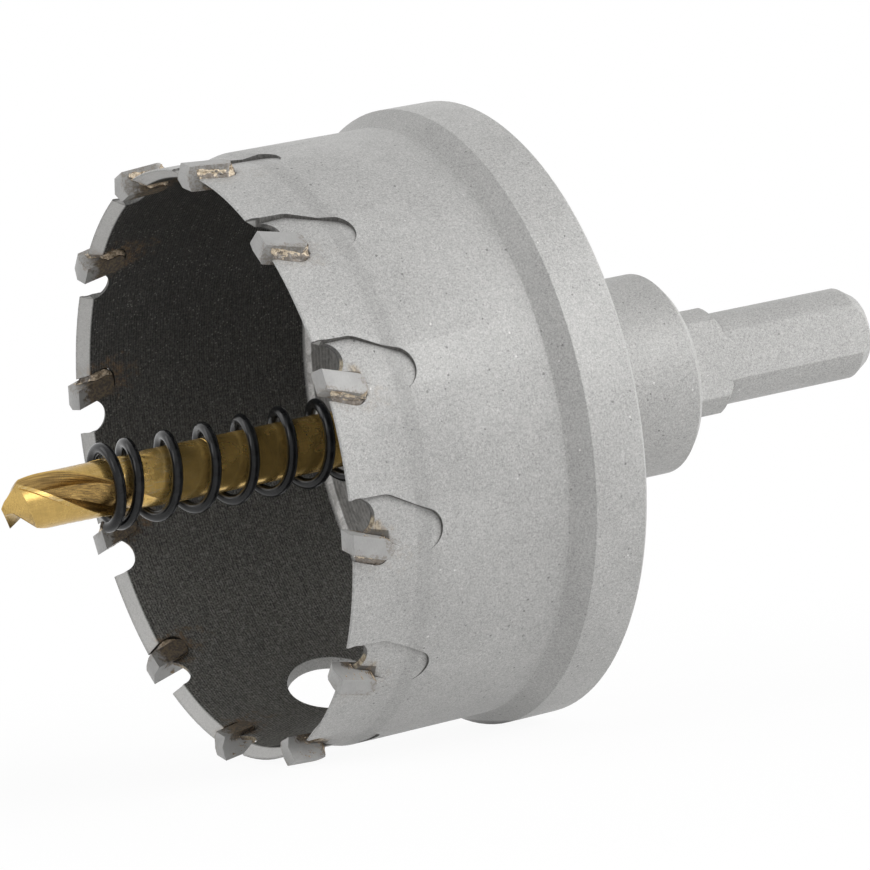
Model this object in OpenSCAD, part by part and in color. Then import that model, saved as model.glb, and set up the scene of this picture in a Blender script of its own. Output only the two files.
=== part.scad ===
// Carbide-tipped hole saw with a one-piece arbor, a pilot drill and an ejector spring.
// It lies as it comes to rest on a flat surface, on two of its tips and on its flange.
// +X runs along the tool towards the shank, +Z is up, and the origin is on the surface.

/* [Cup] */
// Outside diameter of the cup behind the mouth step
cup_diameter = 63.6; // [50:0.2:90]
// Thickness of the cup's wall
cup_wall = 1.5; // [1.3:0.1:2.5]
// Length from the rim to the back of the flange
cup_length = 33.4; // [30:0.1:45]
// Thickness of the cup's base
base_thickness = 5.1; // [4:0.1:8]
// How much smaller in radius the band at the mouth is
mouth_step = 0.4; // [0.2:0.05:0.6]
// Length of the band at the mouth
mouth_band = 7.4; // [6:0.1:9]
// Length of the slope from the mouth band up to the body
mouth_slope = 1.5; // [0.5:0.1:2]
// Depth of the bevel inside the rim
rim_bevel = 1.3; // [0.5:0.05:2]
// Diameter of the chip hole in the cup's wall
chip_hole_diameter = 11.3; // [6:0.1:13]
// Distance from the rim to the centre of the chip hole
chip_hole_position = 17; // [16:0.1:18]

/* [Flange] */
// How far the flange stands out from the cup
flange_height = 1.6; // [1:0.1:3]
// Width of the flange's rim
flange_width = 6.2; // [4:0.1:8]
// Length of the slope in front of the flange
flange_slope = 2.3; // [1:0.1:3]
// Small bevel on the flange's back edge
flange_bevel = 0.35; // [0.2:0.05:0.8]

/* [Teeth] */
// Number of carbide tips, an even number
tip_count = 12; // [8:2:14]
// Thickness of a tip in the direction of the cut
tip_thickness = 2.2; // [1.6:0.1:2.6]
// Length of a tip along the tool
tip_length = 4.75; // [3.6:0.05:5.5]
// How far the tips' cutting points stand out in front of the rim
tip_lead = 0.85; // [0.5:0.05:1.2]
// How far the tips stand out from the mouth band
tip_outside = 1.1; // [0.7:0.1:1.5]
// How far the tips stand into the bore
tip_inside = 0.45; // [0.3:0.05:1]
// Slant of the tips' leading faces in degrees
tip_rake = 15; // [5:1:18]
// Radius of the round corner at a tip's leading root
tip_corner = 0.9; // [0.5:0.1:1.2]
// Radius of the round corner at a tip's trailing root
tip_back_corner = 0.7; // [0.4:0.1:1]
// Distance of a tip's cutting point from its outer face
tip_point = 1.65; // [1.3:0.05:1.9]
// Slope of the ground face outside the cutting point in degrees
outer_grind = 14; // [5:1:20]
// Slope of the ground face inside the cutting point in degrees
inner_grind = 24; // [10:1:30]
// Width of the brazing alloy behind a tip
braze_width = 0.8; // [0.5:0.1:1.2]
// Thickness of the brazing alloy under a tip's root
braze_root = 0.3; // [0.2:0.05:0.5]
// How much lower than the tip's outer face the brazing alloy ends
braze_drop = 0.2; // [0.1:0.05:0.5]

/* [Gullets] */
// Radius at the bottom of a gullet, in the bore
gullet_radius = 1.85; // [1.6:0.05:1.95]
// Radius at the bottom of a gullet, on the outside
gullet_mouth = 2.2; // [2.05:0.05:2.4]
// Depth of a gullet in the bore, from the rim
gullet_depth = 2.8; // [2.5:0.1:3.1]
// Slant of a gullet's leading side in degrees
gullet_slant = 20; // [10:1:25]
// Radius of the milled chip pocket outside a gullet
pocket_radius = 2.3; // [2:0.05:2.6]
// Length of the chip pocket from the rim
pocket_length = 10.2; // [9:0.1:11]
// Depth of the chip pocket at its end
pocket_depth = 0.4; // [0.3:0.05:0.5]
// Slope of the chip pocket's floor across the tool in degrees
pocket_slope = 6; // [3:0.5:8]
// Slope of the chip pocket's floor along the tool in degrees
pocket_rise = 4; // [2:0.5:5]
// Slant of the chip pocket's run in degrees
pocket_slant = 28; // [20:1:32]
// Slope of the chip pocket's walls in degrees
pocket_wall = 15; // [8:1:25]
// Length of the slanted part of the chip pocket
pocket_run = 4.6; // [4:0.1:5.2]

/* [Arbor] */
// Diameter of the hub
hub_diameter = 22.2; // [18:0.1:26]
// Length of the hub behind the flange
hub_length = 21.3; // [16:0.1:26]
// Bevel on the hub's back edge
hub_bevel = 0.8; // [0.2:0.1:1]
// Diameter of the spigot that joins the hub to the cup's base
spigot_diameter = 16; // [12:0.1:17]
// Depth of the seat in the cup's floor in front of the spigot
seat_depth = 0.8; // [0.4:0.1:1.5]
// Diameter of the collar
collar_diameter = 12.2; // [11.5:0.1:14]
// Length of the collar
collar_length = 7.3; // [5:0.1:10]
// Bevel on the collar's back edge
collar_bevel = 0.7; // [0.2:0.1:0.9]
// Diameter of the shank
shank_diameter = 10.2; // [9:0.1:11]
// Length of the shank behind the collar
shank_length = 18.8; // [14:0.1:22]
// Length of the slope at the shank's end
shank_slope = 1.5; // [0.8:0.1:3]
// Radius of the shank's end face
shank_end_radius = 4.2; // [3:0.1:4.3]
// Distance from the axis to each of the three flats
flat_distance = 4.35; // [4.05:0.05:4.45]
// Length of the collar behind the hub that the flats don't reach
flat_runout = 0.4; // [0.2:0.1:1]

/* [Pilot drill] */
// Diameter of the pilot drill
drill_diameter = 6; // [5:0.1:7]
// How far the drill's point stands out in front of the rim
drill_reach = 23.8; // [18:0.1:30]
// Length of the fluted part with the point
flute_length = 23.4; // [18:0.1:26]
// Length of one full turn of the flutes
flute_pitch = 30; // [24:1:40]
// Thickness of the drill's web
drill_web = 1.3; // [1:0.1:1.6]
// How much smaller in radius the drill's lands are than its shank
land_relief = 0.05; // [0.03:0.01:0.1]
// Angle of the drill's point in degrees
point_angle = 130; // [110:1:140]
// Turn of the flutes about the drill's axis in degrees
flute_phase = 340; // [0:5:355]
// Depth of the drill's seat in the arbor
drill_seat_depth = 19; // [15:0.1:20]
// Gap all round the drill in the arbor
drill_clearance = 0.04; // [0.02:0.01:0.08]

/* [Grub screw] */
// Diameter of the grub screw that holds the drill
grub_diameter = 5; // [4:0.5:6]
// Length of the grub screw
grub_length = 6; // [5:0.5:7]
// Distance from the drill's buried end to the grub screw's axis
grub_setback = 3.9; // [3.2:0.1:7]
// Width across the grub screw's hexagon socket
grub_socket = 2.5; // [2:0.5:3]
// Depth of the grub screw's socket
grub_socket_depth = 2.4; // [1.5:0.1:3]
// Gap all round the grub screw
grub_clearance = 0.05; // [0.02:0.01:0.1]

/* [Ejector spring] */
// Diameter of the spring wire
wire_diameter = 1.2; // [0.8:0.1:1.3]
// Gap between the spring's coils and the drill
spring_clearance = 0.5; // [0.4:0.05:0.9]
// How far the spring stands out in front of the rim
spring_reach = 13; // [8:0.1:16]
// Number of open turns
open_turns = 8.5; // [6:0.5:10]
// Gap between the closed turns at each end
closed_gap = 0.15; // [0.1:0.05:0.3]
// Turn of the spring about its axis in degrees
spring_phase = 0; // [0:5:355]

/* [Hidden] */
// Extra length that carries a cut past a face
over = 1;
// Gap between pieces that are pressed or brazed together
fit_gap = 0.01;
// Gap where the spring rests against its seat
rest_gap = 0.05;
// Relief behind a tip's cutting edge
tip_relief = 0.15;
// How much further back a tip's ground front ends at its trailing side
tip_fall = 0.2;
// Bevel at the drill's buried end
drill_bevel = 0.4;
// Angle of the chip hole from straight down
chip_hole_angle = 25.8;
// Angle of the first flat, and of the grub screw on the far side
first_flat_angle = 265.3;
// Sides of the spring's wire and steps in a turn of it
wire_sides = 8;
turn_steps = 20;
half = 1 / 2;
// Radius of a flute as a share of the drill's radius
flute_share = 0.68;

cup_r = cup_diameter / 2;
band_r = cup_r - mouth_step;
bore_r = cup_r - cup_wall;
flange_r = cup_r + flange_height;
floor_t = cup_length - base_thickness;
seat_t = floor_t + seat_depth;
flange_t = cup_length - flange_width;
hub_r = hub_diameter / 2;
hub_t = cup_length + hub_length;
collar_r = collar_diameter / 2;
collar_t = hub_t + collar_length;
shank_r = shank_diameter / 2;
shank_t = collar_t + shank_length;
spigot_r = spigot_diameter / 2;
drill_r = drill_diameter / 2;
drill_end_t = cup_length + drill_seat_depth - base_thickness;
tip_outer_r = band_r + tip_outside;
tip_inner_r = bore_r - tip_inside;
tip_pitch = 360 / tip_count;
tip_shift = tip_length * tan(tip_rake);
point_r = tip_outer_r - tip_point;
grub_t = drill_end_t - grub_setback;
grub_r = grub_diameter / 2;
grub_angle = first_flat_angle - 180;
coil_r = drill_r + spring_clearance + wire_diameter / 2;
closed_pitch = wire_diameter + closed_gap;

// Rest on two tips and the flange: the lean and height that bring both down to the surface
tip_drop = tip_outer_r * cos(tip_pitch / 2) + tip_thickness / 2 * sin(tip_pitch / 2);
outer_fall = tip_point * tan(outer_grind);
lean = atan((flange_r - tip_drop) / (flange_t + tip_lead - outer_fall));
lift = flange_r * cos(lean) - flange_t * sin(lean);
middle_t = (shank_t - drill_reach) / 2;

steel = "#b4b6b7";
bright_steel = "#8d9093";
carbide = "#9aa0a5";
alloy = "#b1935c";
gold = "#b08c3e";
black_steel = "#2c2e31";

// Stands a piece that is built along +Z, from the rim at zero, into its place at rest
module at_rest() {
    translate([-middle_t * cos(lean), 0, lift])
        rotate([0, 90 - lean, 0]) children();
}

// Turns a piece that is built at the tip on +X to the place of tip i
module at_tip(i) {
    rotate([0, 0, tip_pitch * (i - half)]) children();
}

// Pushes an outline in the plane of the wall out along the radius, from r1 to r2
module through_wall(r1, r2) {
    translate([r1, 0, 0]) rotate([90, 0, 90]) linear_extrude(r2 - r1) children();
}

// Points of a round corner about a centre, from one angle to another
function corner(c, r, a1, a2, n) =
    [for (k = [0 : n]) c + r * [cos(a1 + (a2 - a1) * k / n), sin(a1 + (a2 - a1) * k / n)]];

// Outline of a tip seen from outside, with x against the cut and y from the rim,
// grown by g at its back and by h at its root
module tip_outline(g, h) {
    back = tip_thickness / 2 + g;
    root = tip_length - tip_lead + h;
    lead_root = -tip_thickness / 2 + tip_shift;
    r = tip_corner + h;
    q = tip_back_corner + (g + h) * half;
    polygon(concat(
        [[-tip_thickness / 2, -tip_lead], [back, tip_fall - tip_lead]],
        corner([back + tip_shift - q, root - q], q, -tip_rake, 90, 6),
        corner([lead_root + r, root - r], r, 90, 180 - tip_rake, 6)
    ));
}

// Cutter of a gullet: a cone at its bottom that opens outwards, and its slanted leading side
module gullet() {
    centre = -tip_thickness / 2 - gullet_radius * half;
    bottom_t = gullet_depth - gullet_radius;
    flare = atan((gullet_mouth - gullet_radius) / (band_r - bore_r));
    reach = cup_wall + 2 * over;
    translate([bore_r, centre, bottom_t]) {
        translate([-over, 0, 0]) rotate([0, 90, 0]) cylinder(
            h = reach, r1 = gullet_radius - over * tan(flare),
            r2 = gullet_radius + (reach - over) * tan(flare), $fn = 64);
        translate([0, -gullet_radius, 0]) rotate([-gullet_slant, 0, 0]) rotate([0, 0, flare])
            translate([-2 * over, 0, -2 * gullet_depth])
                cube([reach + 3 * over, 2 * gullet_radius, 2 * gullet_depth]);
    }
}

// Cutter of one leg of the chip pocket, from its end back towards the rim
module pocket_leg(length) {
    rise = pocket_depth + 2 * over;
    narrow = pocket_radius - pocket_depth * tan(pocket_wall);
    wide = narrow + rise * tan(pocket_wall);
    rotate([0, 90, 0]) cylinder(h = rise, r1 = narrow, r2 = wide, $fn = 64);
    translate([0, 0, -length]) linear_extrude(length)
        polygon([[0, -narrow], [rise, -wide], [rise, wide], [0, narrow]]);
}

// Milled pocket whose floor slopes up against the cut: one slanted leg and one along the tool
module chip_pocket() {
    end_t = pocket_length - pocket_radius;
    end_s = tip_shift * half - tip_relief;
    translate([cup_r - pocket_depth, end_s, end_t])
        rotate([0, pocket_rise, -pocket_slope]) rotate([-pocket_slant, 0, 0]) {
            pocket_leg(pocket_run);
            translate([0, 0, -pocket_run]) rotate([pocket_slant, 0, 0])
                pocket_leg(end_t + 2 * over);
        }
}

module cup() {
    color(steel) at_rest() difference() {
        rotate_extrude($fn = 180) polygon([
            [spigot_r + fit_gap, cup_length],
            [spigot_r + fit_gap, floor_t],
            [bore_r - cup_wall * half, floor_t],
            [bore_r, floor_t - cup_wall * half],
            [bore_r, rim_bevel],
            [band_r - tip_relief, 0],
            [band_r, tip_relief],
            [band_r, mouth_band],
            [cup_r, mouth_band + mouth_slope],
            [cup_r, flange_t - flange_slope],
            [flange_r, flange_t],
            [flange_r, cup_length - flange_bevel],
            [flange_r - flange_bevel, cup_length]
        ]);
        for (i = [1 : tip_count]) at_tip(i) {
            gullet();
            chip_pocket();
            through_wall(tip_inner_r - over, tip_outer_r + over)
                tip_outline(braze_width + fit_gap, braze_root + fit_gap);
        }
        rotate([0, 0, chip_hole_angle]) translate([0, 0, chip_hole_position]) rotate([0, 90, 0])
            cylinder(h = cup_r + over, r = chip_hole_diameter / 2, $fn = 96);
    }
}

module arbor() {
    color(steel) at_rest() difference() {
        rotate_extrude($fn = 120) polygon([
            [drill_r + drill_clearance, seat_t],
            [spigot_r, seat_t],
            [spigot_r, cup_length],
            [hub_r, cup_length],
            [hub_r, hub_t - hub_bevel],
            [hub_r - hub_bevel, hub_t],
            [collar_r, hub_t],
            [collar_r, collar_t - collar_bevel],
            [collar_r - collar_bevel, collar_t],
            [shank_r, collar_t],
            [shank_r, shank_t - shank_slope],
            [shank_end_radius, shank_t],
            [0, shank_t],
            [0, drill_end_t],
            [drill_r + drill_clearance, drill_end_t]
        ]);
        for (k = [0 : 2]) rotate([0, 0, first_flat_angle + 120 * k])
            translate([flat_distance, -collar_r, hub_t + flat_runout])
                cube([collar_r, 2 * collar_r, shank_t - hub_t - flat_runout + over]);
        rotate([0, 0, grub_angle]) translate([0, 0, grub_t]) rotate([0, 90, 0])
            cylinder(h = hub_r + over, r = grub_r + grub_clearance, $fn = 64);
    }
}

// Cross-section of the fluted part: two lands joined by the web
module flute_section() {
    flute_r = drill_r * flute_share;
    difference() {
        circle(drill_r - land_relief, $fn = 48);
        for (a = [0, 180]) rotate(a) {
            translate([drill_web / 2 + flute_r, 0]) circle(flute_r, $fn = 32);
            translate([drill_web / 2 + flute_r, -flute_r]) square([drill_r, flute_r]);
        }
    }
}

module pilot_drill() {
    tip_t = -drill_reach;
    flute_t = tip_t + flute_length;
    cone_length = drill_r / tan(point_angle / 2);
    color(gold) at_rest() {
        rotate_extrude($fn = 64) polygon([
            [0, flute_t], [drill_r, flute_t],
            [drill_r, drill_end_t - drill_bevel],
            [drill_r - drill_bevel, drill_end_t], [0, drill_end_t]
        ]);
        translate([0, 0, tip_t]) rotate([0, 0, flute_phase]) intersection() {
            linear_extrude(flute_length + over, slices = 46,
                twist = -360 * (flute_length + over) / flute_pitch, convexity = 6) flute_section();
            rotate_extrude($fn = 64) polygon([
                [0, 0], [drill_r, cone_length],
                [drill_r, flute_length + 2 * over], [0, flute_length + 2 * over]
            ]);
        }
    }
}

module grub_screw() {
    foot = drill_r + drill_clearance;
    color(black_steel) at_rest() rotate([0, 0, grub_angle]) translate([0, 0, grub_t]) rotate([0, 90, 0])
        translate([0, 0, foot]) difference() {
            union() {
                cylinder(h = drill_bevel, r1 = grub_r - drill_bevel, r2 = grub_r, $fn = 64);
                translate([0, 0, drill_bevel])
                    cylinder(h = grub_length - drill_bevel, r = grub_r, $fn = 64);
            }
            translate([0, 0, grub_length - grub_socket_depth])
                cylinder(h = grub_socket_depth + over, d = grub_socket / cos(30), $fn = 6);
        }
}

// Height of the spring's wire after t turns from its front end
function coil_height(t, n, rise) =
    t < 1 ? t * closed_pitch
    : t < n - 1 ? closed_pitch + (t - 1) * rise
    : closed_pitch + (n - 2) * rise + (t - n + 1) * closed_pitch;

module ejector_spring() {
    n = open_turns + 2;
    front_t = -spring_reach + wire_diameter / 2;
    back_t = seat_t - wire_diameter / 2 - rest_gap;
    rise = (back_t - front_t - 2 * closed_pitch) / open_turns;
    steps = n * turn_steps;
    rings = [for (j = [0 : steps], k = [0 : wire_sides - 1])
        let (t = j / turn_steps, a = spring_phase - 360 * t, b = 360 * k / wire_sides,
             r = coil_r + wire_diameter / 2 * cos(b))
        [r * cos(a), r * sin(a),
         front_t + coil_height(t, n, rise) + wire_diameter / 2 * sin(b)]];
    sides = [for (j = [0 : steps - 1], k = [0 : wire_sides - 1])
        let (m = (k + 1) % wire_sides, p = j * wire_sides, q = p + wire_sides)
        [p + k, p + m, q + m, q + k]];
    color(black_steel) at_rest() polyhedron(
        points = rings,
        faces = concat(
            sides,
            [[for (k = [wire_sides - 1 : -1 : 0]) k]],
            [[for (k = [0 : wire_sides - 1]) steps * wire_sides + k]]
        ),
        convexity = 10
    );
}

// Block that grinds one side of a tip's front down, from the cutting point
module grinder(side, slope) {
    width = 2 * tip_thickness + 2 * over;
    translate([point_r, -width * half, -tip_lead]) rotate([0, -side * slope, 0])
        translate([side > 0 ? 0 : -2 * tip_thickness, 0, -2 * over])
            cube([2 * tip_thickness, width, 2 * over]);
}

module carbide_tip(i) {
    color(carbide) at_rest() at_tip(i) difference() {
        through_wall(tip_inner_r, tip_outer_r) tip_outline(0, 0);
        grinder(1, outer_grind);
        grinder(-1, inner_grind);
    }
}

// Cast fillet of brazing alloy that fills the slot behind a tip and climbs to its outer face
module braze(i) {
    top_r = tip_outer_r - braze_drop;
    bottom_r = tip_inner_r + braze_drop * half;
    thin = braze_drop * half;
    color(alloy) at_rest() at_tip(i) difference() {
        union() {
            hull() {
                through_wall(bore_r, band_r) tip_outline(braze_width, braze_root);
                through_wall(band_r, top_r) tip_outline(thin, thin);
            }
            hull() {
                through_wall(bore_r, band_r) tip_outline(braze_width, braze_root);
                through_wall(bottom_r, bore_r) tip_outline(thin, thin);
            }
        }
        translate([band_r, 0, tip_relief]) rotate([0, atan(rim_bevel / (band_r - bore_r)), 0])
            translate([-cup_r * half, -cup_r * half, -cup_r]) cube([cup_r, cup_r, cup_r]);
        translate([0, -cup_r * half, -cup_r]) cube([cup_r + 2 * over, cup_r, cup_r + tip_relief]);
        through_wall(tip_inner_r - over, tip_outer_r + over) tip_outline(fit_gap, fit_gap);
    }
}

cup();
arbor();
pilot_drill();
grub_screw();
ejector_spring();
for (i = [1 : tip_count]) {
    name = str("carbide_tip_", i < 10 ? "0" : "", i);
    carbide_tip(i);
}
for (i = [1 : tip_count]) {
    name = str("braze_", i < 10 ? "0" : "", i);
    braze(i);
}
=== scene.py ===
import math
import bpy
import bmesh
from mathutils import Matrix, Vector, noise


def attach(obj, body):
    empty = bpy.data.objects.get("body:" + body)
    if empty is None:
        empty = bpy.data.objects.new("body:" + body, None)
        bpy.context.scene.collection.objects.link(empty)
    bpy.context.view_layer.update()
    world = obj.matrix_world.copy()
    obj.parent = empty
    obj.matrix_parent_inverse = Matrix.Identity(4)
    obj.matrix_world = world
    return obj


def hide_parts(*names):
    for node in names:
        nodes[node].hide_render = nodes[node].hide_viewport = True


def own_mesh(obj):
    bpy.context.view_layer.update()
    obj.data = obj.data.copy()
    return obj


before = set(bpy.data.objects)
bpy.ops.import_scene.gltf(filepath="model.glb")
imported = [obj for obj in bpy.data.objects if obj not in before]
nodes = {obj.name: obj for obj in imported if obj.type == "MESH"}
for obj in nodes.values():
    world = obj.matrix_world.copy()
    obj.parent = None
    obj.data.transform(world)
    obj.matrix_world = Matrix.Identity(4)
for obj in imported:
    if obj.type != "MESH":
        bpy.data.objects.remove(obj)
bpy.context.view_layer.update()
MM = 0.001

# Sizes of the CAD source in mm, in the tool's own space: +Z along the tool from the rim, +X down at rest
BAND_R, BORE_R, CUP_R = 31.4, 30.3, 31.8
CUP_L, FLOOR_T, SEAT_T = 33.4, 28.3, 29.1
TEETH, TIP_R, TIP_LEAD, TIP_T, TIP_L = 12, 32.5, 0.85, 2.2, 4.75
BEVEL_W, BEVEL_ANGLE, RAKE = 1.65, math.radians(14), math.radians(15)
REACH, SHANK_T = 23.8, 80.8
FLANGE_R, FLANGE_T = 33.4, 27.2
ROOT_T = TIP_L - TIP_LEAD
STEP = 360 / TEETH

# The saw rests on two tips and the edge of the flange, so it leans
HALF_STEP = math.radians(STEP / 2)
DROP = TIP_R * math.cos(HALF_STEP) + TIP_T / 2 * math.sin(HALF_STEP)
LEAN = math.atan((FLANGE_R - DROP) / (FLANGE_T + TIP_LEAD - BEVEL_W * math.tan(BEVEL_ANGLE)))
LIFT = FLANGE_R * math.cos(LEAN) - FLANGE_T * math.sin(LEAN)
MIDDLE = (SHANK_T - REACH) / 2
ORIGIN = Vector((-MIDDLE * math.cos(LEAN), 0, LIFT)) * MM
TURN = math.pi / 2 - LEAN
REST = Matrix.Translation(ORIGIN) @ Matrix.Rotation(TURN, 4, "Y") @ Matrix.Scale(MM, 4)


# Node helper
class Graph:
    """Short calls for building the node tree of a material or world."""

    def __init__(self, owner):
        owner.use_nodes = True
        self.owner = owner
        self.tree = owner.node_tree
        self.tree.nodes.clear()

    def add(self, kind, **settings):
        n = self.tree.nodes.new(kind)
        for k, v in settings.items():
            setattr(n, k, v)
        return n

    def link(self, a, b):
        self.tree.links.new(a, b)

    def put(self, socket, value):
        """Links a socket or sets a constant."""
        if isinstance(value, bpy.types.NodeSocket):
            self.link(value, socket)
        elif isinstance(value, tuple) and socket.type == "RGBA":
            socket.default_value = (*value, 1)
        else:
            socket.default_value = value

    def made(self, kind, values, out=0, **settings):
        """Adds a node, fills its inputs by name or number and gives one of its outputs."""
        n = self.add(kind, **settings)
        for k, v in values.items():
            self.put(n.inputs[k], v)
        return n.outputs[out]

    def math(self, op, *values):
        return self.made("ShaderNodeMath", dict(enumerate(values)), operation=op)

    def plus(self, a, b):
        return self.math("ADD", a, b)

    def minus(self, a, b):
        return self.math("SUBTRACT", a, b)

    def mul(self, a, *more):
        """Product of all its values."""
        for b in more:
            a = self.math("MULTIPLY", a, b)
        return a

    def mul_add(self, a, b, c):
        return self.math("MULTIPLY_ADD", a, b, c)

    def most(self, a, *more):
        """Largest of its values."""
        for b in more:
            a = self.math("MAXIMUM", a, b)
        return a

    def vmath(self, op, a, b=(0, 0, 0)):
        out = "Value" if op in ("LENGTH", "DOT_PRODUCT") else 0
        return self.made("ShaderNodeVectorMath", {0: a, 1: b}, out, operation=op)

    def parts(self, vector):
        """The three parts of a vector."""
        n = self.add("ShaderNodeSeparateXYZ")
        self.put(n.inputs[0], vector)
        return n.outputs

    def ramp(self, value, lo, hi, a=0.0, b=1.0, shape="SMOOTHSTEP"):
        """Runs from a to b while the value goes from lo to hi."""
        values = dict(enumerate((value, lo, hi, a, b)))
        return self.made("ShaderNodeMapRange", values, interpolation_type=shape)

    def fade(self, value, lo, hi):
        """Runs from one to zero while the value goes from lo to hi."""
        return self.ramp(value, lo, hi, 1.0, 0.0)

    def between(self, value, a, b, c, d):
        """Rises from zero to one between a and b, and falls back between c and d."""
        return self.mul(self.ramp(value, a, b), self.fade(value, c, d))

    def vary(self, value, a, b):
        """Turns a noise, which seldom leaves its middle part, into a level from a to b."""
        return self.ramp(value, 0.3, 0.7, a, b)

    def sway(self, value, amount):
        return self.vary(value, -amount, amount)

    def mix(self, fac, a, b):
        return self.made("ShaderNodeMix", {0: fac, 6: a, 7: b}, 2, data_type="RGBA")

    def tint(self, tone, level):
        """A tone made lighter or darker."""
        return self.made("ShaderNodeHueSaturation", {"Color": tone, "Value": level})

    def noise(self, at, scale, detail=2.0, rough=0.5, distortion=0.0, stretch=(1, 1, 1), shift=(0, 0, 0)):
        if stretch != (1, 1, 1) or any(shift):
            at = self.made("ShaderNodeMapping", {0: at, 1: shift, 3: stretch})
        values = {"Vector": at, "Scale": scale, "Detail": detail, "Roughness": rough,
                  "Distortion": distortion}
        return self.made("ShaderNodeTexNoise", values)

    def cells(self, at, scale, seed):
        """Distance to the nearest of scattered points."""
        at = self.vmath("ADD", at, (seed, seed, seed))
        return self.made("ShaderNodeTexVoronoi", {"Vector": at, "Scale": scale})

    def wave(self, kind, at, scale, distortion, detail, detail_scale):
        """Turning marks: bands along the tool, or rings round its axis."""
        values = {"Vector": at, "Scale": scale, "Distortion": distortion,
                  "Detail": detail, "Detail Scale": detail_scale}
        return self.made("ShaderNodeTexWave", values, 1, wave_type=kind,
                         bands_direction="Z", rings_direction="Z")

    def space(self):
        """Place on the tool in mm, as (vector, along, radius, angle in degrees from 0 to 360)."""
        here = self.add("ShaderNodeTexCoord").outputs["Object"]
        values = {0: here, 1: ORIGIN, 2: (0, TURN, 0), 3: (MM, MM, MM)}
        at = self.made("ShaderNodeMapping", values, vector_type="TEXTURE")
        x, y, t = self.parts(at)
        radius = self.math("SQRT", self.mul_add(x, x, self.mul(y, y)))
        angle = self.mul_add(self.math("ARCTAN2", y, x), 180 / math.pi, 360.0)
        return at, t, radius, self.math("MODULO", angle, 360.0)

    def bump(self, height, distance, strength, normal=None):
        n = self.add("ShaderNodeBump")
        n.inputs["Strength"].default_value = strength
        n.inputs["Distance"].default_value = distance * MM
        self.put(n.inputs["Height"], height)
        if normal is not None:
            self.put(n.inputs["Normal"], normal)
        return n.outputs[0]

    def painted_corner_shade(self, reach, depth):
        """Factor that darkens narrow corners with painted shade."""
        open_share = self.made("ShaderNodeAmbientOcclusion", {"Distance": reach * MM}, "AO", samples=6)
        return self.ramp(open_share, 0.40, 0.97, 1.0 - depth, 1.0)

    def rounded(self, radius):
        """A normal that rounds the edges."""
        return self.made("ShaderNodeBevel", {0: radius * MM}, samples=4)

    def seen_plainly(self):
        """One for the rays of the camera and for mirror-like and clear ones, zero for all others."""
        rays = self.add("ShaderNodeLightPath").outputs
        return self.most(rays["Is Camera Ray"], rays["Is Glossy Ray"], rays["Is Transmission Ray"])

    def shade(self, output, fac, a, b):
        """Ends the tree with a mix of two shaders."""
        shader = self.made("ShaderNodeMixShader", {0: fac, 1: a, 2: b})
        self.link(shader, self.add(output).inputs[0])
        return self.owner

    def finish(self, color, roughness, normal, metallic=0.0, **constants):
        """Ends a material's tree with the Principled shader."""
        bsdf = self.add("ShaderNodeBsdfPrincipled")
        self.link(bsdf.outputs[0], self.add("ShaderNodeOutputMaterial").inputs[0])
        self.put(bsdf.inputs["Base Color"], color)
        self.put(bsdf.inputs["Roughness"], roughness)
        self.put(bsdf.inputs["Metallic"], metallic)
        self.put(bsdf.inputs["Normal"], normal)
        for k, v in constants.items():
            bsdf.inputs[k.replace("_", " ")].default_value = v
        return self.owner


# Tones as linear red, green and blue, in pairs where a material runs from dark to light
CUP_STEEL, ARBOR_STEEL = (0.445, 0.442, 0.433), (0.415, 0.412, 0.403)
# the milled walls' own dark tone together with painted shade
MILLED_WALL_AND_SHADE = (0.040, 0.039, 0.036), (0.16, 0.156, 0.148)
RAN_BRASS = (0.22, 0.165, 0.11), (0.58, 0.50, 0.35)
LIP_BRASS = (0.16, 0.12, 0.08), (0.52, 0.43, 0.30)
JOINT_LINE = (0.07, 0.06, 0.05)
# painted shade for the slopes that face the mouth
PAINTED_SLOPE_SHADE = (0.20, 0.198, 0.193)
HEAT_BROWN = (0.085, 0.062, 0.042), (0.36, 0.255, 0.15)
BEVEL_BRIGHT = (0.70, 0.695, 0.68)
# the bore's soot tone, its painted glints and its stain
BORE_SOOT, BORE_PAINTED_GLINT, BORE_STAIN = (0.038, 0.0375, 0.035), (0.26, 0.255, 0.24), (0.19, 0.125, 0.072)
# painted shade for narrow corners
CUP_CORNER_SHADE, ARBOR_CORNER_SHADE = (0.03, 0.027, 0.023), (0.03, 0.028, 0.025)
TURNED_FLOOR = (0.36, 0.35, 0.335), (0.92, 0.905, 0.88)
TURNED_FRONT = (0.34, 0.33, 0.315), (0.80, 0.785, 0.76)
# painted shade for the hole that holds the drill
HOLE_PAINTED_SHADE = (0.10, 0.098, 0.094)
CARBIDE, CARBIDE_DIRT = (0.385, 0.382, 0.375), (0.20, 0.165, 0.125)
# darker inner faces of the tips
CARBIDE_INNER_DARK = (0.040, 0.034, 0.028), (0.165, 0.120, 0.072)
BRAZE = (0.25, 0.19, 0.13), (0.58, 0.47, 0.345)
BRAZE_GRIT_LIGHT, BRAZE_GRIT_DARK = (0.66, 0.59, 0.47), (0.10, 0.072, 0.048)
BRAZE_EDGE, BRAZE_ROOT, BRAZE_SKIN = (0.80, 0.69, 0.53), (0.075, 0.062, 0.05), (0.25, 0.215, 0.18)
# GOLD_FLUTE_SHADE is painted shade in the flutes
GOLD, GOLD_FLUTE_SHADE, GOLD_SMUDGE, GOLD_WORN = (
    (0.56, 0.375, 0.118), (0.17, 0.10, 0.04), (0.10, 0.055, 0.02), (0.72, 0.60, 0.38))
SPRING_BLACK, SCREW_BLACK = (0.0035, 0.0036, 0.0040), (0.022, 0.022, 0.023)
# rubbed wear on the coil that is also a painted highlight
CHIPPED, RUBBED_AND_HIGHLIGHT = (0.05, 0.05, 0.052), (0.11, 0.113, 0.12)

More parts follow.
